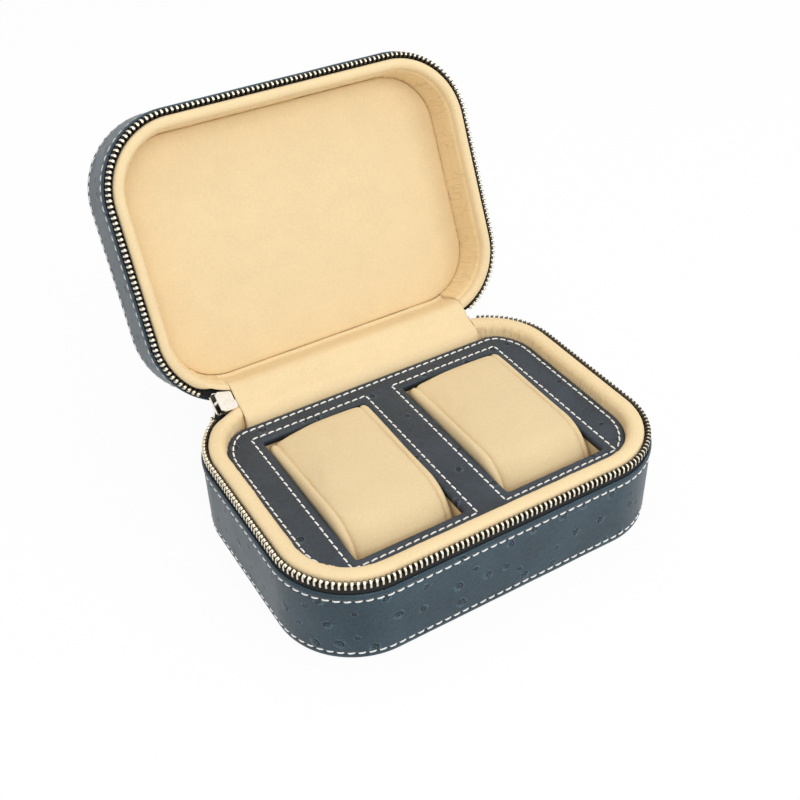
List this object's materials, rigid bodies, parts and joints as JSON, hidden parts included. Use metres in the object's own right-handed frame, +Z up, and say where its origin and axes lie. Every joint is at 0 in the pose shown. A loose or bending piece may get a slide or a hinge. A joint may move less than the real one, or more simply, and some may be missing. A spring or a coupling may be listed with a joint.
{
  "type": "watch travel case",
  "caption": "Zip-around travel case with a hinged lid, a stitched deck and lift-out watch pillows in wells.",
  "frame": {"origin": "middle of the tray's underside, on the surface that the case stands on", "axes": "+Z up, -Y towards the front, the hinge along X at the back (+Y); the lid stands open at rest"},
  "size_m": [0.1766, 0.2107, 0.1562],
  "materials": {
    "navy_leather": "ostrich-grain leather, semi-matt",
    "deck_leather": "fine-grain leather, semi-matt",
    "cream_suede": "microsuede, matt",
    "greyboard": "greyboard, raw",
    "foam": "closed-cell foam",
    "zip_tape": "woven polyester tape",
    "zip_teeth": "pale plated, polished",
    "slider_metal": "pale plated, satin"
  },
  "bodies": {
    "base": {"base_side_wrap": "navy_leather", "base_bottom_wrap": "navy_leather", "base_wall_board": "greyboard", "base_floor_board": "greyboard", "base_rim_lining": "cream_suede", "base_back_pad": "cream_suede", "insert_frame": "foam", "deck_board": "greyboard", "deck_cover": "deck_leather", "well_liner_left": "cream_suede", "well_liner_right": "cream_suede", "base_zip_tape": "zip_tape", "base_zip_teeth": "zip_teeth", "base_top_stop": "zip_teeth", "hinge_strip": "navy_leather", "hinge_lining": "cream_suede"},
    "lid": {"lid_side_wrap": "navy_leather", "lid_top_wrap": "navy_leather", "lid_wall_board": "greyboard", "lid_top_board": "greyboard", "lid_rim_lining": "cream_suede", "lid_back_pad": "cream_suede", "lid_foam": "foam", "lid_panel_board": "greyboard", "lid_panel_pad": "cream_suede", "lid_zip_tape": "zip_tape", "lid_zip_teeth": "zip_teeth", "lid_top_stop": "zip_teeth"},
    "zip_stop": {"zip_bottom_stop": "zip_teeth"},
    "slider": {"slider_body": "slider_metal", "slider_bail": "slider_metal"},
    "pull": {"slider_pull": "slider_metal"},
    "pillow_left": {"pillow_left_pad": "cream_suede", "pillow_left_ends": "cream_suede"},
    "pillow_right": {"pillow_right_pad": "cream_suede", "pillow_right_ends": "cream_suede"}
  },
  "joints": [
    {"name": "lid_hinge", "type": "hinge", "parent": "base", "child": "lid", "pos_m": [0, 0.0621, 0.0425], "axis": [-1, 0, 0], "range_deg": [-114.5, 0], "deforming": ["hinge_strip", "hinge_lining"]},
    {"name": "stop_tilt", "type": "hinge", "parent": "base", "child": "zip_stop", "pos_m": [0, 0.0621, 0.0425], "axis": [-1, 0, 0], "range_deg": [-57.25, 0]},
    {"name": "slider_run", "type": "hinge", "parent": "zip_stop", "child": "slider", "pos_m": [-0.053, 0.04433, 0.07013], "axis": [0, -0.841, -0.541], "range_deg": [-64, 0]},
    {"name": "pull_swing", "type": "hinge", "parent": "slider", "child": "pull", "pos_m": [-0.06789, 0.06286, 0.04132], "axis": [0.9171, 0.2157, -0.3354], "range_deg": [-5, 72]},
    {"name": "pillow_left_lift", "type": "slide", "parent": "base", "child": "pillow_left", "axis": [0, 0, 1], "range_m": [0, 0.045]},
    {"name": "pillow_right_lift", "type": "slide", "parent": "base", "child": "pillow_right", "axis": [0, 0, 1], "range_m": [0, 0.045]}
  ],
  "couplings": [
    {"joint": "stop_tilt", "follows": "lid_hinge", "ratio": 0.5}
  ]
}
